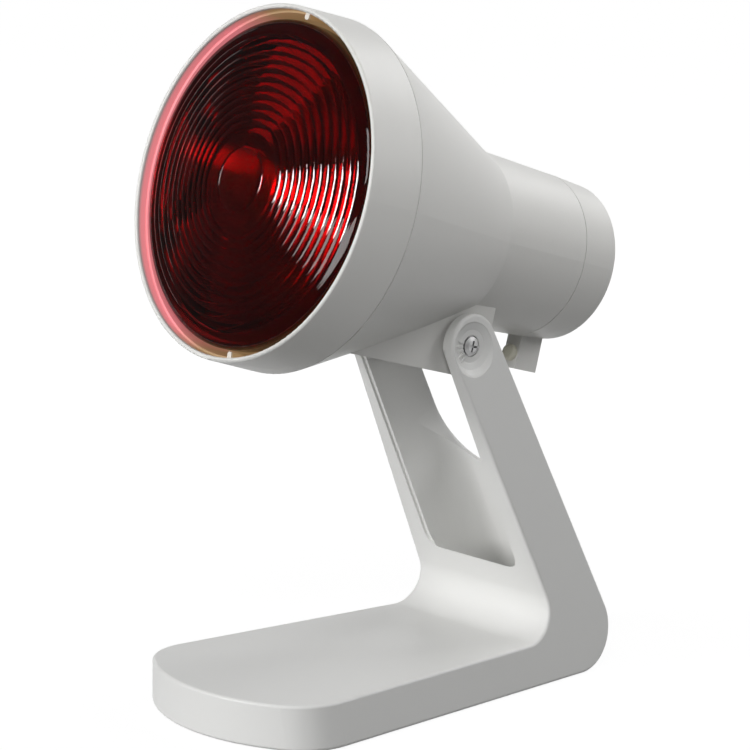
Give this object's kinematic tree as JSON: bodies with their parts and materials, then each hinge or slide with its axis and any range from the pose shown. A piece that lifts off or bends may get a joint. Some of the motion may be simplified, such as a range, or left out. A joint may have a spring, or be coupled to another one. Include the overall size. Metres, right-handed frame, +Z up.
{
  "type": "infrared heat lamp",
  "caption": "Table heat lamp: red reflector bulb in a white cone-shaped head that tilts in the fork of a flat-based leaning stand.",
  "frame": {"origin": "bottom centre of the whole lamp's box, on the surface it stands on", "axes": "+Z up, -Y the way the lamp faces, +X to the right of someone facing +Y, across the fork along the pivot"},
  "size_m": [0.1342, 0.1948, 0.2667],
  "materials": {
    "housing_plastic": "fine satin moulded thermoplastic, warm white",
    "stand_plastic": "fine satin moulded thermoplastic, warm white",
    "cream_plastic": "smooth cream bush plastic",
    "inner_plastic": "moulded plastic, hidden side",
    "red_glass": "deep red pressed glass, concentric ridges",
    "mirror_glass": "aluminised pressed glass",
    "base_glass": "black vitrite glass",
    "stem_glass": "clear stem glass",
    "porcelain": "glazed white porcelain",
    "brass": "pressed brass",
    "steel": "zinc plated steel",
    "tungsten": "tungsten and nickel wire",
    "friction_plastic": "black acetal",
    "foot_rubber": "matte grey rubber"
  },
  "bodies": {
    "stand": {"stand": "stand_plastic", "base_cover": "inner_plastic", "base_cover_screws": "steel", "rubber_feet": "foot_rubber", "friction_washers": "friction_plastic"},
    "head": {"front_ring": "housing_plastic", "cone_housing": "housing_plastic", "rear_cap": "housing_plastic", "cord_bush": "cream_plastic", "cord_clamp": "inner_plastic", "cord_clamp_screws": "steel", "cap_screws": "steel", "bulb_lens": "red_glass", "bulb_reflector": "mirror_glass", "bulb_screw_base": "brass", "bulb_base_glass": "base_glass", "bulb_contact": "brass", "bulb_filament": "tungsten", "bulb_filament_leads": "stem_glass", "lampholder_body": "porcelain", "lampholder_thread": "brass", "lampholder_contact": "brass", "lampholder_terminals": "brass", "lampholder_plate": "steel", "lampholder_screws": "steel", "plate_screws": "steel", "pivot_inserts": "brass", "pivot_screws": "steel", "spring_washers": "steel"}
  },
  "joints": [
    {"name": "head_tilt", "type": "hinge", "parent": "stand", "child": "head", "pos_m": [0, 0.01623, 0.1367], "axis": [-1, 0, 0], "range_deg": [-30, 30]}
  ]
}
